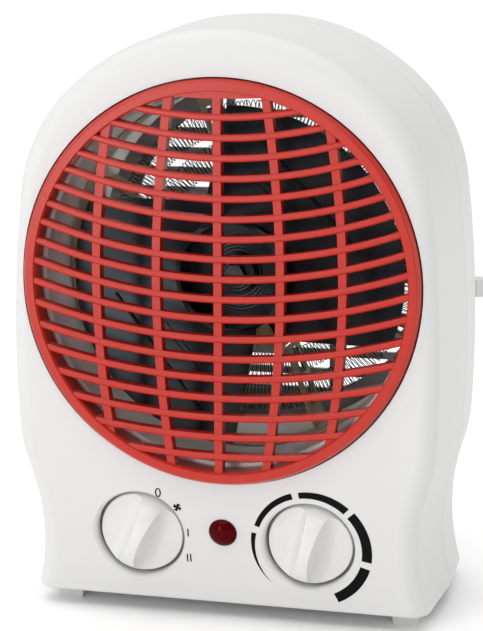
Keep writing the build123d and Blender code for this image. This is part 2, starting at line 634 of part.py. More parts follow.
# ---- motor: laminated stator with its coil, rotor and shaft, and a bearing bridge at each end ----
with BuildPart() as fan_shaft:
    with BuildSketch(facing_front(face_y + boss_front_depth - fan_nut_length, z=grille_height)):
        Circle(shaft_size)
    extrude(amount=-(rear_bridge_y + shaft_end_play - face_y - boss_front_depth + fan_nut_length))
with BuildPart() as motor_rotor:
    with BuildSketch(facing_front(stack_front_y, z=grille_height)):
        Circle(rotor_radius)
        Circle(shaft_size + shaft_clearance, mode=Mode.SUBTRACT)
    extrude(amount=-stack_thickness)
leg_top = leg_height - stack_bottom
with BuildPart() as motor_stator:
    with BuildSketch(facing_front(stack_front_y, z=grille_height)):
        with Locations((0, (stack_top - stack_bottom) / 2)):
            RectangleRounded(2 * stack_half_width, stack_top + stack_bottom, stack_corner)
        Circle(rotor_radius + rotor_gap, mode=Mode.SUBTRACT)
        with Locations((0, leg_top + window_height / 2)):
            Rectangle(2 * window_half_width, window_height, mode=Mode.SUBTRACT)
        with Locations((-motor_screw_spread, 0), (motor_screw_spread, 0)):
            Circle(motor_screw_radius + screw_clearance, mode=Mode.SUBTRACT)
    extrude(amount=-stack_thickness)
with BuildPart() as motor_coil:
    with BuildSketch(Plane(origin=(0, stack_front_y + stack_thickness / 2, grille_height + leg_top - leg_height / 2),
                           x_dir=(0, 1, 0), z_dir=(1, 0, 0))):
        RectangleRounded(stack_thickness + 2 * coil_build, leg_height + 2 * coil_build, coil_corner)
        Rectangle(stack_thickness + 2 * coil_air, leg_height + 2 * coil_air, mode=Mode.SUBTRACT)
    extrude(amount=window_half_width - seat_air, both=True)


def bearing_bridge(foot_y, plate_y):
    """Bent strip with two feet on the stack and a plate that holds the bearing."""
    step = bridge_thickness if plate_y < foot_y else -bridge_thickness
    outer_leg = motor_screw_spread - bridge_toe
    inner_leg = outer_leg - bridge_thickness
    with BuildPart() as bridge:
        with BuildSketch(Plane.XY.offset(grille_height)):
            with BuildLine():
                half = Polyline((0, plate_y), (outer_leg, plate_y), (outer_leg, foot_y - step),
                                (stack_half_width, foot_y - step), (stack_half_width, foot_y),
                                (inner_leg, foot_y), (inner_leg, plate_y + step), (0, plate_y + step),
                                close=True)
            make_face()
            mirror(about=Plane.YZ)
        extrude(amount=bridge_height / 2, both=True)
        with BuildSketch(facing_front(seam_y, z=grille_height)):
            Circle(bearing_radius + shaft_clearance)
            with Locations((-motor_screw_spread, 0), (motor_screw_spread, 0)):
                Circle(motor_screw_radius + screw_clearance)
        extrude(amount=body_depth, both=True, mode=Mode.SUBTRACT)
    return bridge


front_bearing_bridge = bearing_bridge(stack_front_y, front_bridge_y)
rear_bearing_bridge = bearing_bridge(stack_rear_y, rear_bridge_y)
with BuildPart() as motor_bearings:
    for y in (front_bridge_y - bearing_stand, rear_bridge_y + bearing_stand - bearing_length):
        with BuildSketch(facing_front(y, z=grille_height)):
            Circle(bearing_radius)
            Circle(shaft_size + bearing_clearance, mode=Mode.SUBTRACT)
        extrude(amount=-bearing_length)
with BuildPart() as motor_spacers:
    with BuildSketch(facing_front(stack_rear_y + bridge_thickness, z=grille_height)):
        with Locations((-motor_screw_spread, 0), (motor_screw_spread, 0)):
            Circle(motor_screw_radius + spacer_wall)
            Circle(motor_screw_radius + screw_clearance, mode=Mode.SUBTRACT)
    extrude(amount=stack_rear_y + bridge_thickness - bracket_y)
with BuildPart() as motor_bracket:
    with BuildSketch(Plane(origin=(0, bracket_y, grille_height), x_dir=(0, 1, 0), z_dir=(1, 0, 0))):
        with Locations((bracket_flange / 2, 0)):
            Rectangle(bracket_flange, bracket_height)
        with Locations((bracket_thickness + bracket_flange / 2, 0)):
            Rectangle(bracket_flange, bracket_height - 2 * bracket_thickness, mode=Mode.SUBTRACT)
    extrude(amount=bracket_half_length, both=True)
    with BuildSketch(facing_front(bracket_y, z=grille_height)):
        with Locations((-motor_screw_spread, 0), (motor_screw_spread, 0)):
            Circle(motor_screw_radius + screw_clearance)
        with Locations((-post_spread, 0), (post_spread, 0)):
            Circle(screw_radius + screw_clearance)
        with Locations((-bracket_slot_spread, 0), (bracket_slot_spread, 0)):
            SlotOverall(bracket_slot_length, bracket_slot_width)
    extrude(amount=-bracket_thickness, mode=Mode.SUBTRACT)


def pan_screws(places, head_front_y, shank_radius, length, heads):
    """Screws that run backwards from their heads: one solid for each place."""
    with BuildPart() as screws:
        for x, z in places:
            with BuildSketch(facing_front(head_front_y)):
                with Locations((x, z)):
                    Circle(heads)
            extrude(amount=-head_height)
            with BuildSketch(facing_front(head_front_y + head_height)):
                with Locations((x, z)):
                    Circle(shank_radius)
            extrude(amount=-length)
    return screws


level_pair = [(-1, grille_height), (1, grille_height)]
motor_foot_y = stack_front_y - bridge_thickness
motor_screws = pan_screws([(side * motor_screw_spread, z) for side, z in level_pair], motor_foot_y - head_height,
                          motor_screw_radius, bracket_y + bracket_thickness + motor_screw_end - motor_foot_y,
                          head_radius)
bracket_screws = pan_screws([(side * post_spread, z) for side, z in level_pair], bracket_y - head_height,
                            screw_radius, bracket_screw_length, head_radius)
with BuildPart() as shell_screws:
    head_y = seam_y + seam_gap + head_height + wall
    for x, z in screw_places:
        with BuildSketch(facing_front(head_y + head_height)):
            with Locations((x, z)):
                Circle(head_radius)
        extrude(amount=head_height)
        with BuildSketch(facing_front(head_y)):
            with Locations((x, z)):
                Circle(screw_radius)
        extrude(amount=shell_screw_length)

# ---- terminal block, cord gland and feet ----
with BuildPart() as terminal_block:
    with BuildSketch(Plane.XY.offset(foot_height + wall + screw_clearance)):
        with Locations((0, face_y + block_depth)):
            RectangleRounded(block_width, block_length, block_corner)
    extrude(amount=block_height)
    with BuildSketch(Plane.XY.offset(foot_height + wall + screw_clearance + block_height)):
        with Locations((0, face_y + block_depth)):
            with GridLocations(block_width / block_ways, 1, block_ways, 1):
                Circle(block_well_radius)
    extrude(amount=-block_height / 2, mode=Mode.SUBTRACT)
with BuildPart() as terminal_screws:
    with BuildSketch(Plane.XY.offset(foot_height + wall + screw_clearance + block_height / 2)):
        with Locations((0, face_y + block_depth)):
            with GridLocations(block_width / block_ways, 1, block_ways, 1):
                Circle(block_well_radius - screw_clearance)
    extrude(amount=block_height / 3)
with BuildPart() as cord_gland:
    gland_across = Plane(origin=(-gland_spread, 0, gland_height), x_dir=(1, 0, 0), z_dir=(0, 0, 1))
    with BuildSketch(gland_across):
        with BuildLine():
            Polyline((gland_bore, back_y), (gland_flange, back_y), (gland_flange, back_y - gland_flange_depth),
                     (gland_radius, back_y - gland_flange_depth), (gland_radius, back_y - 2 * wall),
                     (gland_tail_radius, back_y - gland_tail), (gland_bore, back_y - gland_tail), close=True)
        make_face()
    revolve(axis=Axis((-gland_spread, 0, gland_height), (0, 1, 0)))


def pair_of_feet(places):
    """Tapered feet, each with the peg that holds it in the underside."""
    with BuildPart() as feet:
        for x, y in places:
            with BuildSketch(Plane.XY.offset(foot_height)):
                with Locations((x, y)):
                    Rectangle(foot_width, foot_length)
            extrude(amount=-foot_height, taper=foot_taper)
            with BuildSketch(Plane.XY.offset(foot_height)):
                with Locations((x, y)):
                    Circle(peg_radius)
            extrude(amount=peg_length)
    return feet


front_feet = pair_of_feet([place for place in foot_places if place[1] < seam_y])
rear_feet = pair_of_feet([place for place in foot_places if place[1] > seam_y])

pieces = {
    "front_shell": front_shell, "rear_shell": rear_shell, "front_grille": front_grille,
    "selector_knob": selector_knob, "selector_shaft": selector_shaft, "selector_nut": selector_nut,
    "selector_switch": selector_switch, "thermostat_knob": thermostat_knob,
    "thermostat_shaft": thermostat_shaft, "thermostat_nut": thermostat_nut,
    "thermostat_body": thermostat_body, "pilot_lens": pilot_lens, "lamp_holder": lamp_holder,
    "duct_liner": duct_liner, "duct_band": duct_band, "element_boards": element_boards,
    "outer_wire_ring": outer_wire_ring, "inner_wire_ring": inner_wire_ring,
    "thermal_cutout": thermal_cutout, "thermal_fuse": thermal_fuse, "fan_impeller": fan_impeller,
    "fan_nut": fan_nut, "fan_shaft": fan_shaft, "motor_rotor": motor_rotor, "motor_stator": motor_stator,
    "motor_coil": motor_coil, "front_bearing_bridge": front_bearing_bridge,
    "rear_bearing_bridge": rear_bearing_bridge, "motor_bearings": motor_bearings,
    "motor_spacers": motor_spacers, "motor_bracket": motor_bracket, "motor_screws": motor_screws,
    "bracket_screws": bracket_screws, "shell_screws": shell_screws, "terminal_block": terminal_block,
    "terminal_screws": terminal_screws, "cord_gland": cord_gland, "front_feet": front_feet,
    "rear_feet": rear_feet,
}
os.makedirs("parts", exist_ok=True)
for name, piece in pieces.items():
    piece.part.label = name
    export_step(piece.part, f"parts/{name}.step")
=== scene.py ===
import json
import random
from math import asin, cos, radians, sin, tau

import bmesh
import bpy
from mathutils import Matrix, Vector


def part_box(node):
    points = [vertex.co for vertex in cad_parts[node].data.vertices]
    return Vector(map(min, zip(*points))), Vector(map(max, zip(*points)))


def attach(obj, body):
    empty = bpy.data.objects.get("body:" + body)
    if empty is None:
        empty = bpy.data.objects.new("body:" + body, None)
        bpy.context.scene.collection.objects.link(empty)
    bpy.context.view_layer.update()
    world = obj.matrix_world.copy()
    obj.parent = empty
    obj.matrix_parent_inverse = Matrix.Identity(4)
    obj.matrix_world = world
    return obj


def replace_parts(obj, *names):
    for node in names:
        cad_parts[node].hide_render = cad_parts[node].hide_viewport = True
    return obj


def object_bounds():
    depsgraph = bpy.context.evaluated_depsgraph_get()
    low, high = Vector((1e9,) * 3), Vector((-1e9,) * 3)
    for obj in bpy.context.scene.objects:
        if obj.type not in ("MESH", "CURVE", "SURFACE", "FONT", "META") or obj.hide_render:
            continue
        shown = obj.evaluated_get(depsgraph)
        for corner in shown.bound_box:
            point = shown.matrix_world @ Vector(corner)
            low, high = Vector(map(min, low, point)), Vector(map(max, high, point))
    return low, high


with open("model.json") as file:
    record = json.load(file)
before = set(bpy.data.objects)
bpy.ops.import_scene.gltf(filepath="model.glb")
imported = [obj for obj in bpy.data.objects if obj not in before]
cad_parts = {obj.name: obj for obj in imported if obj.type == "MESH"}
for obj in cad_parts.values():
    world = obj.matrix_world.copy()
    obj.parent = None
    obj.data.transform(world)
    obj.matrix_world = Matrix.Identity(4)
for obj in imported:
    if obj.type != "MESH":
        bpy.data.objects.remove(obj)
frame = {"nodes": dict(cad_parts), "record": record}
cad_low, cad_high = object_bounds()

# ---- Camera ----
# A long lens stands a little to the right of the heater and looks slightly down on it. The camera is
# rolled by a fifth of a degree about the line that it looks along.
swing, rise, roll = radians(15.238), radians(11.364), radians(-0.216)
looks_at, camera_distance = Vector((0.01099, -0.05771, 0.13999)), 0.91845
towards_camera = Vector((sin(swing) * cos(rise), -cos(swing) * cos(rise), sin(rise)))
level = Vector((cos(swing), sin(swing), 0.0))
upright = towards_camera.cross(level)
camera_right = level * cos(roll) + upright * sin(roll)
camera_up = upright * cos(roll) - level * sin(roll)
camera_turn = Matrix((camera_right, camera_up, towards_camera)).transposed().to_4x4()
camera = bpy.data.objects.new("camera", bpy.data.cameras.new("camera"))
camera.data.lens, camera.data.sensor_width = 124.39, 36.0
camera.matrix_world = Matrix.Translation(looks_at + towards_camera * camera_distance) @ camera_turn
bpy.context.scene.collection.objects.link(camera)
bpy.context.scene.camera = camera
bpy.context.scene.view_settings.view_transform = "Standard"

# ---- Floor ----
# A wide, pale, matt board that the heater stands on with its four feet. It reaches far beyond the
# camera's view on every side, so none of its edges shows.


class Link:
    """An output of a finish's nodes. Arithmetic on links adds the Math nodes for it."""

    def __init__(self, finish, socket):
        self.finish, self.socket = finish, socket

    def maths(self, operation, *values):
        return self.finish.add("ShaderNodeMath", {"operation": operation}, dict(enumerate(values)))

    def __add__(self, other):
        return self.maths("ADD", self, other)

    def __sub__(self, other):
        return self.maths("SUBTRACT", self, other)

    def __rsub__(self, other):
        return self.maths("SUBTRACT", other, self)

    def __mul__(self, other):
        return self.maths("MULTIPLY", self, other)

    def __pow__(self, other):
        return self.maths("POWER", self, other)

    def __rpow__(self, other):
        return self.maths("POWER", other, self)

    def __lt__(self, other):
        return self.maths("LESS_THAN", self, other)

    def __gt__(self, other):
        return self.maths("GREATER_THAN", self, other)

    def sine(self):
        return self.maths("SINE", self)

    __radd__, __rmul__ = __add__, __mul__


class Finish:
    """One material on a Principled shader. What is the same all over goes straight on its sockets.
    colour and roughness hold for the whole finish, unless vary_colour or vary_roughness is called."""

    def __init__(self, name, colour, roughness, **uniform):
        self.material = bpy.data.materials.new(name)
        self.material.use_nodes = True
        self.tree = self.material.node_tree
        self.shader = self.tree.nodes["Principled BSDF"]
        self.shader.inputs["Base Color"].default_value = (*colour, 1.0)
        self.shader.inputs["Roughness"].default_value = roughness
        for socket, value in uniform.items():
            self.shader.inputs[socket.replace("_", " ")].default_value = value
        self.place = self.add("ShaderNodeTexCoord", output="Object")

    def add(self, kind, settings=None, sockets=None, output=0):
        """The one way that a node is made: its type, its settings, and its sockets' values or links."""
        node = self.tree.nodes.new(kind)
        for setting, value in (settings or {}).items():
            setattr(node, setting, value)
        for socket, value in (sockets or {}).items():
            if isinstance(value, Link):
                self.tree.links.new(value.socket, node.inputs[socket])
            else:
                node.inputs[socket].default_value = value
        return Link(self, node.outputs[output])

    def noise(self, scale, detail=2.0, roughness=0.5):
        return self.add("ShaderNodeTexNoise", None, {"Vector": self.place, "Scale": scale,
                                                     "Detail": detail, "Roughness": roughness})

    def stripes(self, across, scale, distortion):
        return self.add("ShaderNodeTexWave", {"bands_direction": across},
                        {"Vector": self.place, "Scale": scale, "Distortion": distortion})

    def feed(self, socket, link):
        self.tree.links.new(link.socket, self.shader.inputs[socket])

    def vary_colour(self, first, second, share):
        """Colour that goes from first to second as share goes from 0 to 1."""
        factor, first_colour, second_colour, mixed = 0, 6, 7, 2
        self.feed("Base Color", self.add("ShaderNodeMix", {"data_type": "RGBA"}, {
            factor: share, first_colour: (*first, 1.0), second_colour: (*second, 1.0)}, mixed))

    def vary_roughness(self, least, most, share):
        """Roughness that goes from least to most as share goes from 0 to 1."""
        self.feed("Roughness", share * (most - least) + least)

    def bump(self, height, strength, distance):
        self.feed("Normal", self.add("ShaderNodeBump", None, {"Height": height, "Strength": strength,
                                                              "Distance": distance}))

    def on(self, *nodes):
        """Gives this finish to CAD nodes."""
        for node in nodes:
            piece = frame["nodes"][node]
            piece.data.materials.clear()
            piece.data.materials.append(self.material)


pale_floor = Finish("pale_floor", (0.96, 0.96, 0.96), 0.9, Specular_IOR_Level=0.2)
floor_reach = 6.0
floor_mesh = bpy.data.meshes.new("floor")
floor_mesh.from_pydata([(-floor_reach, -floor_reach, 0), (floor_reach, -floor_reach, 0),
                        (floor_reach, floor_reach, 0), (-floor_reach, floor_reach, 0)], [], [(0, 1, 2, 3)])
floor_mesh.materials.append(pale_floor.material)
floor = bpy.data.objects.new("floor", floor_mesh)
bpy.context.scene.collection.objects.link(floor)

# ---- Studio light ----
# White walls, brightest at the floor, stand far around the heater under one broad, soft, high light.
# A narrow soft box at the front left and one behind shine into the duct, and one at each side lights
# the housing's flanks.
glow_at_floor, glow_overhead, overhead_from = 0.68, 0.30, 0.6
studio = bpy.data.worlds.new("studio")
studio.use_nodes = True
walls = studio.node_tree.nodes["Background"]
walls.inputs["Color"].default_value = (1.0, 1.0, 1.0, 1.0)
outwards = studio.node_tree.nodes.new("ShaderNodeTexCoord")
upwards = studio.node_tree.nodes.new("ShaderNodeSeparateXYZ")
glow = studio.node_tree.nodes.new("ShaderNodeMapRange")
for socket, value in {"From Min": 0.0, "From Max": overhead_from,
                      "To Min": glow_at_floor, "To Max": glow_overhead}.items():
    glow.inputs[socket].default_value = value
studio.node_tree.links.new(outwards.outputs["Generated"], upwards.inputs["Vector"])
studio.node_tree.links.new(upwards.outputs["Z"], glow.inputs["Value"])
studio.node_tree.links.new(glow.outputs["Result"], walls.inputs["Strength"])
bpy.context.scene.world = studio


def soft_box(name, stands, faces, width, height, power):
    light = bpy.data.lights.new(name, "AREA")
    light.shape, light.size, light.size_y, light.energy = "RECTANGLE", width, height, power
    lamp = bpy.data.objects.new(name, light)
    lamp.location = stands
    lamp.rotation_euler = (Vector(faces) - Vector(stands)).to_track_quat("-Z", "Y").to_euler()
    bpy.context.scene.collection.objects.link(lamp)


soft_box("front_box", (-0.52, -1.20, 0.34), faces=(0, 0, 0.12), width=0.34, height=0.66, power=4.2)
soft_box("left_box", (-1.10, -0.50, 0.45), faces=(0, 0, 0.15), width=0.6, height=1.0, power=0.8)
soft_box("right_box", (0.95, 0.50, 0.60), faces=(0, 0, 0.15), width=0.6, height=1.0, power=1.9)
soft_box("back_box", (-0.10, 1.00, 0.70), faces=(0, 0, 0.13), width=0.9, height=0.6, power=1.0)
overhead = bpy.data.lights.new("overhead", "SUN")
overhead.energy, overhead.angle = 2.35, radians(80)
overhead_lamp = bpy.data.objects.new("overhead", overhead)
overhead_shines = Vector((0.10, 0.14, -0.98))
overhead_lamp.rotation_euler = overhead_shines.to_track_quat("-Z", "Y").to_euler()
bpy.context.scene.collection.objects.link(overhead_lamp)

# ---- Housing shells and feet ----
# The front and rear shells and the four feet are injection-moulded in white plastic, and four screws
# from behind hold the shells together. The tools leave a fine texture and a slightly uneven gloss.
moulded_white = Finish("moulded_white", (0.67, 0.67, 0.665), 0.45, Specular_IOR_Level=0.35)
cloudy = moulded_white.noise(9.0, detail=3.0)
moulded_white.vary_colour((0.66, 0.66, 0.655), (0.68, 0.68, 0.675), cloudy)
moulded_white.vary_roughness(0.40, 0.50, cloudy)
moulded_white.bump(moulded_white.noise(2600.0), strength=0.05, distance=0.0002)
moulded_white.on("front_shell", "rear_shell", "front_feet", "rear_feet")

# ---- Grille ----
# One red moulding: a bevelled ring with eighteen sagging bars, five uprights and a solid web at its
# top. Its ring sits in the round opening of the front shell.
moulded_red = Finish("moulded_red", (0.47, 0.020, 0.010), 0.28, Specular_IOR_Level=0.35)
red_cloud = moulded_red.noise(24.0, detail=3.0)
moulded_red.vary_colour((0.44, 0.018, 0.009), (0.50, 0.024, 0.012), red_cloud)
moulded_red.vary_roughness(0.24, 0.36, red_cloud)
moulded_red.bump(moulded_red.noise(1800.0), strength=0.08, distance=0.0002)
moulded_red.on("front_grille")

# ---- Air duct and sheet-metal parts ----
# The duct is rolled from zinc-plated steel sheet, and the motor's bracket, bridges and spacers, the
# thermostat's body and the cut-out are plated alike. The sheet has a cloudy spangle and faint grain,
# and its colour is painted paler than plated steel, as painted light inside the dim duct.
pale_lit_zinc = Finish("pale_lit_zinc", (0.90, 0.85, 0.83), 0.45, Metallic=0.2)
spangle = pale_lit_zinc.noise(60.0, detail=4.0)
pale_lit_zinc.vary_colour((0.84, 0.79, 0.77), (0.95, 0.91, 0.89), spangle)
pale_lit_zinc.vary_roughness(0.25, 0.50, spangle)
pale_lit_zinc.bump(pale_lit_zinc.noise(300.0, detail=3.0), strength=0.15, distance=0.0003)
pale_lit_zinc.on("duct_liner", "motor_bracket", "front_bearing_bridge", "rear_bearing_bridge", "motor_spacers",
              "thermostat_body", "thermal_cutout")

# ---- Mica band and boards ----
# Tan mica board, stamped from pressed flakes: a strip that lines the duct behind the fan, and the
# radial boards whose windows hold the heating wire.
mica = Finish("mica", (0.70, 0.58, 0.38), 0.55)
flakes = mica.noise(700.0, detail=4.0, roughness=0.65)
mica.vary_colour((0.62, 0.50, 0.31), (0.78, 0.66, 0.46), flakes)
mica.bump(flakes, strength=0.2, distance=0.0002)
mica.on("duct_band", "element_boards")

# ---- Heating wire ----
# Two rings of bare resistance wire, each wound as flattened loops and laid through the board windows.
# The loops lean and crowd unevenly, and use has blued and browned the wire.
hot_wire = Finish("hot_wire", (0.05, 0.045, 0.045), 0.4, Metallic=0.8)
tint = hot_wire.noise(120.0, detail=3.0)
hot_wire.vary_colour((0.025, 0.022, 0.022), (0.09, 0.075, 0.07), tint)
boards_low, boards_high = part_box("element_boards")
ring_low, ring_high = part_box("front_grille")
axis_height = (ring_low.z + ring_high.z) / 2


def fitted(name, shape, finish, body):
    """A new piece, made of a mesh or curve, that rides on a body and takes its finish from a slot."""
    shape.materials.append(finish.material)
    piece = bpy.data.objects.new(name, shape)
    bpy.context.scene.collection.objects.link(piece)
    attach(piece, body)
    return piece


def wound_ring(name, node, inner, outer, loops, seed):
    """A closed ring of flattened wire loops: each goes out in front and comes back behind."""
    chance = random.Random(seed)
    points_a_loop, wire_radius, loop_depth, most_lean, least_reach = 14, 0.00022, 0.0035, 0.35, 0.94
    leans = [chance.uniform(-most_lean, most_lean) for _ in range(loops)]
    reaches = [chance.uniform(least_reach, 1.0) for _ in range(loops)]
    wire = bpy.data.curves.new(name, "CURVE")
    wire.dimensions, wire.bevel_depth, wire.bevel_resolution, wire.resolution_u = "3D", wire_radius, 1, 2
    line = wire.splines.new("NURBS")
    line.points.add(loops * points_a_loop - 1)
    middle_y = (boards_low.y + boards_high.y) / 2
    for index, point in enumerate(line.points):
        loop, phase = divmod(index, points_a_loop)
        share = phase / points_a_loop
        lean = leans[loop] * (1 - share) + leans[(loop + 1) % loops] * share
        reach = reaches[loop] * (1 - share) + reaches[(loop + 1) % loops] * share
        out = (inner + outer) / 2 + (outer - inner) / 2 * reach * cos(tau * share)
        angle = tau * (loop + share + lean * (out - inner) / (outer - inner)) / loops
        deep = middle_y + loop_depth * sin(tau * share)
        point.co = (out * sin(angle), deep, axis_height + out * cos(angle), 1.0)
    line.use_cyclic_u = True
    line.order_u = 4
    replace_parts(fitted(name, wire, hot_wire, "heater"), node)


wound_ring("outer_wire_loops", "outer_wire_ring", inner=0.0585, outer=0.0717, loops=236, seed=3)
wound_ring("inner_wire_loops", "inner_wire_ring", inner=0.0440, outer=0.0559, loops=180, seed=7)

# ---- Fan ----
# Two wide blades and a cup-shaped hub in one glossy dark moulding, held on the shaft by a nut. Each
# blade has a fold across it and a pair of fine ribs near the hub, whose end has fine rings.
glossy_black = Finish("glossy_black", (0.008, 0.006, 0.007), 0.25, Specular_IOR_Level=0.28,
                      Specular_Tint=(0.82, 0.9, 1.0, 1.0))
smear = glossy_black.noise(35.0, detail=3.0)
glossy_black.vary_roughness(0.20, 0.32, smear)
along_x, along_z = [glossy_black.add("ShaderNodeSeparateXYZ", None, {"Vector": glossy_black.place}, axis)
                    for axis in "XZ"]
above_axis = along_z - axis_height
axis_distance_squared = along_x * along_x + above_axis * above_axis
rings_within_squared, ring_waves = 0.00030, 4200.0  # out to 17.3 mm, and a ring every 1.5 mm
rings = (axis_distance_squared ** 0.5 * ring_waves).sine()
glossy_black.bump(rings * (axis_distance_squared < rings_within_squared), strength=0.18, distance=0.0003)
glossy_black.on("fan_impeller")
impeller = frame["nodes"]["fan_impeller"]


def blade_line(name, start, end, thickness):
    """A moulded line on both blades. start and end are (right, up) of the shaft, on the lower blade."""
    stations, rearwards = 9, Vector((0, 1, 0))
    line = bpy.data.curves.new(name, "CURVE")
    line.dimensions, line.bevel_depth, line.bevel_resolution, line.use_fill_caps = "3D", thickness, 2, True
    for side in (1, -1):
        run = line.splines.new("POLY")
        run.points.add(stations - 1)
        for station, point in enumerate(run.points):
            share = station / (stations - 1)
            right, up = [side * (first + (last - first) * share) for first, last in zip(start, end)]
            ahead = Vector((right, ring_low.y, axis_height + up))
            _, on_blade, _, _ = impeller.ray_cast(ahead, rearwards)
            point.co = (*on_blade, 1.0)
    fitted(name, line, glossy_black, "fan")


blade_line("blade_folds", (-0.0550, -0.0110), (-0.0140, -0.0600), thickness=0.0008)
blade_line("blade_outer_ribs", (-0.0325, -0.0245), (-0.0105, -0.0458), thickness=0.00028)
blade_line("blade_inner_ribs", (-0.0310, -0.0225), (-0.0090, -0.0438), thickness=0.00028)

# ---- Motor ----
# A small shaded-pole motor that turns the fan: a stack of punched steel laminations with the rotor in
# it, a coil wound on a bobbin and wrapped in tape, and two sintered bronze bearings.
laminations = Finish("laminations", (0.20, 0.20, 0.21), 0.45, Metallic=0.7)
layers = laminations.stripes("Y", 320.0, distortion=0.3)
laminations.vary_colour((0.12, 0.12, 0.125), (0.28, 0.28, 0.29), layers)
laminations.bump(layers, strength=0.4, distance=0.0002)
laminations.on("motor_stator", "motor_rotor")
coil_tape = Finish("coil_tape", (0.75, 0.68, 0.30), 0.45)
tape_turns = coil_tape.stripes("X", 40.0, distortion=0.6)
coil_tape.vary_colour((0.60, 0.52, 0.20), (0.80, 0.73, 0.36), tape_turns)
coil_tape.bump(tape_turns, strength=0.3, distance=0.0003)
coil_tape.on("motor_coil")
bronze = Finish("bronze", (0.55, 0.38, 0.17), 0.4, Metallic=1.0)
pores = bronze.noise(2500.0, detail=3.0)
bronze.vary_colour((0.42, 0.28, 0.12), (0.62, 0.44, 0.20), pores)
bronze.bump(pores, strength=0.3, distance=0.0001)
bronze.on("motor_bearings")

# ---- Shafts, nuts and screws ----
# Turned and rolled steel parts, zinc-plated, with fine turning marks. The fan's shaft and nut are
# painted near black instead, as painted shade at the fan's hub.
plated_steel = Finish("plated_steel", (0.66, 0.65, 0.62), 0.28, Metallic=1.0)
marks = plated_steel.noise(900.0, detail=3.0)
plated_steel.vary_colour((0.55, 0.54, 0.52), (0.74, 0.73, 0.70), marks)
plated_steel.vary_roughness(0.2, 0.4, marks)
plated_steel.on("selector_shaft", "thermostat_shaft", "selector_nut", "thermostat_nut", "motor_screws",
                "bracket_screws", "shell_screws", "terminal_screws")
shaded_dark_steel = Finish("shaded_dark_steel", (0.045, 0.045, 0.05), 0.3, Metallic=1.0)
dark_steel_cloud = shaded_dark_steel.noise(700.0, detail=3.0)
shaded_dark_steel.vary_colour((0.025, 0.025, 0.028), (0.07, 0.07, 0.075), dark_steel_cloud)
shaded_dark_steel.on("fan_nut", "fan_shaft")

# ---- Crosses in the shell screws ----
# A cross-shaped recess is punched in each of the four screw heads at the bottom of the rear shell's
# wells. Each cross is a flat patch just proud of the head, painted almost black as the shade inside it.
painted_recess_shade = Finish("painted_recess_shade", (0.03, 0.03, 0.03), 0.6, Metallic=0.6)
# The noise makes the painted shade a little uneven.
recess_shade_cloud = painted_recess_shade.noise(1400.0, detail=3.0)
painted_recess_shade.vary_colour((0.02, 0.02, 0.02), (0.05, 0.048, 0.045), recess_shade_cloud)
lower_screws, upper_screws = (0.06068, 0.062), (0.06268, 0.228)  # out from the middle, and height
arm, half_slot, cross_proud = 0.0015, 0.00035, 0.00004
cross_outline = [(half_slot, arm), (half_slot, half_slot), (arm, half_slot), (arm, -half_slot),
                 (half_slot, -half_slot), (half_slot, -arm), (-half_slot, -arm), (-half_slot, -half_slot),
                 (-arm, -half_slot), (-arm, half_slot), (-half_slot, half_slot), (-half_slot, arm)]
crosses = bmesh.new()
for screw_out, screw_z in (lower_screws, upper_screws):
    for screw_x in (-screw_out, screw_out):
        behind = Vector((screw_x, cad_high[1], screw_z))
        _, head, _, _ = frame["nodes"]["shell_screws"].ray_cast(behind, Vector((0, -1, 0)))
        crosses.faces.new([crosses.verts.new((screw_x + right, head.y + cross_proud, screw_z + up))
                           for right, up in cross_outline])
cross_mesh = bpy.data.meshes.new("screw_crosses")
crosses.to_mesh(cross_mesh)
crosses.free()
fitted("screw_crosses", cross_mesh, painted_recess_shade, "heater")

# ---- Switch, lamp holder, terminal block, fuse and gland ----
# Inner parts as they are bought in: a black thermoset switch and lamp holder, a natural nylon terminal
# block and a fuse in a glass-braid sleeve. A black rubber gland is pushed into the rear shell's hole.
thermoset = Finish("thermoset", (0.035, 0.035, 0.036), 0.5)
speckle = thermoset.noise(1200.0, detail=3.0)
thermoset.vary_colour((0.02, 0.02, 0.021), (0.06, 0.06, 0.062), speckle)
thermoset.bump(speckle, strength=0.2, distance=0.0001)
thermoset.on("selector_switch", "lamp_holder")
nylon = Finish("nylon", (0.80, 0.80, 0.76), 0.5)
nylon_cloud = nylon.noise(90.0, detail=3.0)
nylon.vary_colour((0.76, 0.76, 0.71), (0.84, 0.84, 0.80), nylon_cloud)
nylon.on("terminal_block")
glass_braid = Finish("glass_braid", (0.85, 0.83, 0.78), 0.8)
braid = glass_braid.stripes("DIAGONAL", 500.0, distortion=1.0)
glass_braid.vary_colour((0.70, 0.68, 0.62), (0.90, 0.88, 0.84), braid)
glass_braid.bump(braid, strength=0.5, distance=0.0002)
glass_braid.on("thermal_fuse")
black_rubber = Finish("black_rubber", (0.03, 0.03, 0.03), 0.6)
rubber_bloom = black_rubber.noise(220.0, detail=4.0)
black_rubber.vary_colour((0.018, 0.018, 0.018), (0.05, 0.05, 0.05), rubber_bloom)
black_rubber.bump(black_rubber.noise(1500.0), strength=0.2, distance=0.0002)
black_rubber.on("cord_gland")

# ---- Knobs ----
# The same white plastic as the housing, polished a little more, and painted lighter as painted light:
# each has a smooth dome and a grip fin, and is pushed on its control's shaft.
knob_white = Finish("knob_white", (0.72, 0.72, 0.71), 0.3, Coat_Weight=0.1, Coat_Roughness=0.12)
knob_cloud = knob_white.noise(30.0, detail=3.0)
knob_white.vary_colour((0.71, 0.71, 0.70), (0.73, 0.73, 0.72), knob_cloud)
knob_white.vary_roughness(0.24, 0.32, knob_cloud)
knob_white.bump(knob_white.noise(2600.0), strength=0.03, distance=0.0002)
knob_white.on("selector_knob", "thermostat_knob")

# ---- Dot on the left knob ----
# A small raised dot moulded on the tail of the left knob's fin, so that a finger finds where the knob
# points. It is a low cap whose foot sinks a little into the dome.
controls = {joint["child"]: joint["pos_m"] for joint in frame["record"]["behaviour"]["joints"]}
selector_x, selector_y, selector_z = controls["selector"]
dot_left, dot_ahead, dot_below, dot_sides, dot_top = 0.0046, 0.02, 0.0134, 20, 0.00048
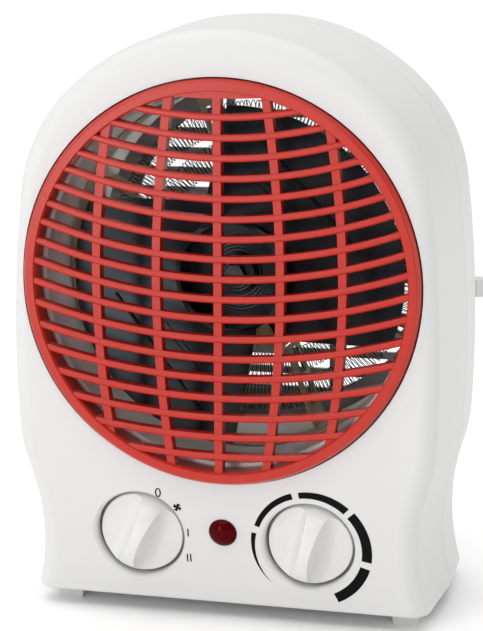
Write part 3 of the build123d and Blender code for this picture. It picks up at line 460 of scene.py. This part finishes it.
# Radius and height above the dome, from the dot's sunken foot to just below its top.
dot_profile = [(0.00095, -0.0002), (0.00085, 0.0001), (0.00065, 0.0003), (0.00035, 0.00042)]
_, dot_seat, dot_axis, _ = frame["nodes"]["selector_knob"].closest_point_on_mesh(
    Vector((selector_x - dot_left, selector_y - dot_ahead, selector_z - dot_below)))
aside = dot_axis.orthogonal().normalized()
along = dot_axis.cross(dot_axis.orthogonal()).normalized()
dot_points = [dot_seat + dot_axis * dot_top]
for radius, height in dot_profile:
    for side in range(dot_sides):
        angle = tau * side / dot_sides
        dot_points.append(dot_seat + dot_axis * height + (aside * cos(angle) + along * sin(angle)) * radius)
ring_starts = range(1, len(dot_points), dot_sides)
dot_faces = [(lower + side, lower + (side + 1) % dot_sides, upper + (side + 1) % dot_sides, upper + side)
             for lower, upper in zip(ring_starts, ring_starts[1:]) for side in range(dot_sides)]
dot_faces += [(ring_starts[-1] + side, ring_starts[-1] + (side + 1) % dot_sides, 0)
              for side in range(dot_sides)]
dot_mesh = bpy.data.meshes.new("knob_dot")
dot_mesh.from_pydata(dot_points, [], dot_faces)
dot_mesh.polygons.foreach_set("use_smooth", [True] * len(dot_faces))
fitted("knob_dot", dot_mesh, knob_white, "selector")

# ---- Pilot lamp ----
# A domed lens in clear red plastic, pressed into the panel between the knobs. The lamp behind it is
# off, so its depth looks almost black.
clear_red = Finish("clear_red", (0.07, 0.0006, 0.001), 0.06, Specular_IOR_Level=0.05)
lens_cloud = clear_red.noise(160.0)
clear_red.vary_colour((0.05, 0.0003, 0.0006), (0.10, 0.001, 0.002), lens_cloud)
clear_red.on("pilot_lens")

# ---- Printed marks round the knobs ----
# Black pad-printed ink on the leaning panel: 0, a small fan, I and II at the left knob, and at the
# right knob five strokes of an arc that grow thicker clockwise. They are a film of ink, 0.05 mm proud.
print_ink = Finish("print_ink", (0.006, 0.006, 0.006), 0.7, Specular_IOR_Level=0.05)
ink_cloud = print_ink.noise(900.0, detail=3.0)
print_ink.vary_colour((0.004, 0.004, 0.004), (0.008, 0.008, 0.008), ink_cloud)
ring_proud, chin_below_axis, chin_radius, ink_proud = 0.003, 0.040, 0.480, 0.00005
face_y, chin_top = ring_low.y + ring_proud, axis_height - chin_below_axis


def on_panel(knob, right, up):
    """Point on the leaning panel's ink film, this far right of a knob's axis and up the panel."""
    x, _, z = controls[knob]
    lean = asin((chin_top - z) / chin_radius)
    height = z + up * cos(lean)
    lean = asin((chin_top - height) / chin_radius)
    return (x + right, face_y + chin_radius * (1 - cos(lean)) - ink_proud, height)


def printed(name, knob, patches):
    """patches are grids of (right, up) points, row by row: each becomes a patch of ink."""
    ink = bmesh.new()
    for patch in patches:
        rows = [[ink.verts.new(on_panel(knob, right, up)) for right, up in row] for row in patch]
        for upper, lower in zip(rows, rows[1:]):
            for corner in range(len(upper) - 1):
                ink.faces.new((upper[corner], upper[corner + 1], lower[corner + 1], lower[corner]))
    bmesh.ops.recalc_face_normals(ink, faces=ink.faces)
    for face in ink.faces:
        if face.normal.y > 0:
            face.normal_flip()
    ink_mesh = bpy.data.meshes.new(name)
    ink.to_mesh(ink_mesh)
    ink.free()
    fitted(name, ink_mesh, print_ink, "heater")


def arc_stroke(start, end, inner, outer):
    """Part of a ring, in degrees clockwise from straight up; inner and outer are radii at both ends."""
    steps, rows = 24, []
    for step in range(steps + 1):
        share = step / steps
        angle = radians(start + (end - start) * share)
        radii = [at_start + (at_end - at_start) * share for at_start, at_end in (inner, outer)]
        rows.append([(radius * sin(angle), radius * cos(angle)) for radius in radii])
    return rows


def at_clock(patch, clock, right=0.0, up=0.0, turned=0.0, size=1.0):
    """The patch on the circle of marks, clock degrees clockwise from straight up, then shifted right
    and up by a little. It is turned clockwise about its own middle and scaled."""
    mark_radius, turn_cos, turn_sin = 0.0225, cos(radians(turned)), sin(radians(turned))
    middle_x = mark_radius * sin(radians(clock)) + right
    middle_z = mark_radius * cos(radians(clock)) + up
    return [[(middle_x + size * (x * turn_cos + z * turn_sin),
              middle_z + size * (z * turn_cos - x * turn_sin)) for x, z in row] for row in patch]


mark_height, stroke_width, nought_width, nought_steps = 0.0038, 0.00062, 0.0024, 24
half_height, half_stroke, half_nought = mark_height / 2, stroke_width / 2, nought_width / 2
nought_outside, nought_inside = (1.0, 1.0), (0.52, 0.74)  # shares of its width and height
bar = [[(-half_stroke, half_height), (half_stroke, half_height)],
       [(-half_stroke, -half_height), (half_stroke, -half_height)]]
nought = [[(half_nought * wide * sin(tau * step / nought_steps),
            half_height * tall * cos(tau * step / nought_steps))
           for wide, tall in (nought_outside, nought_inside)] for step in range(nought_steps + 1)]
fan_blade = [[(-0.0003, 0.0), (0.0004, 0.0)], [(-0.0005, 0.0007), (0.0005, 0.0007)],
             [(-0.0004, 0.0013), (0.0010, 0.0010)], [(0.0002, 0.0018), (0.0014, 0.0012)]]
printed("selector_marks", "selector",
        [at_clock(nought, 25, up=0.0005, size=1.15), at_clock(bar, 83),
         at_clock(bar, 113, right=0.0007, up=-0.0006), at_clock(bar, 113, right=0.0022, up=-0.0006)]
        + [at_clock(fan_blade, 51, right=0.0005, up=0.0004, turned=turned, size=1.08)
           for turned in (10, 100, 190, 280)])
printed("thermostat_scale", "thermostat",
        [arc_stroke(-136, -78, inner=(0.0250, 0.0236), outer=(0.0251, 0.0258)),
         arc_stroke(-70, -16, inner=(0.0231, 0.0231), outer=(0.0254, 0.0259)),
         arc_stroke(-9, 43, inner=(0.0230, 0.0231), outer=(0.0258, 0.0267)),
         arc_stroke(49, 101, inner=(0.0230, 0.0236), outer=(0.0272, 0.0281)),
         arc_stroke(108, 154, inner=(0.0237, 0.0237), outer=(0.0282, 0.0283))])
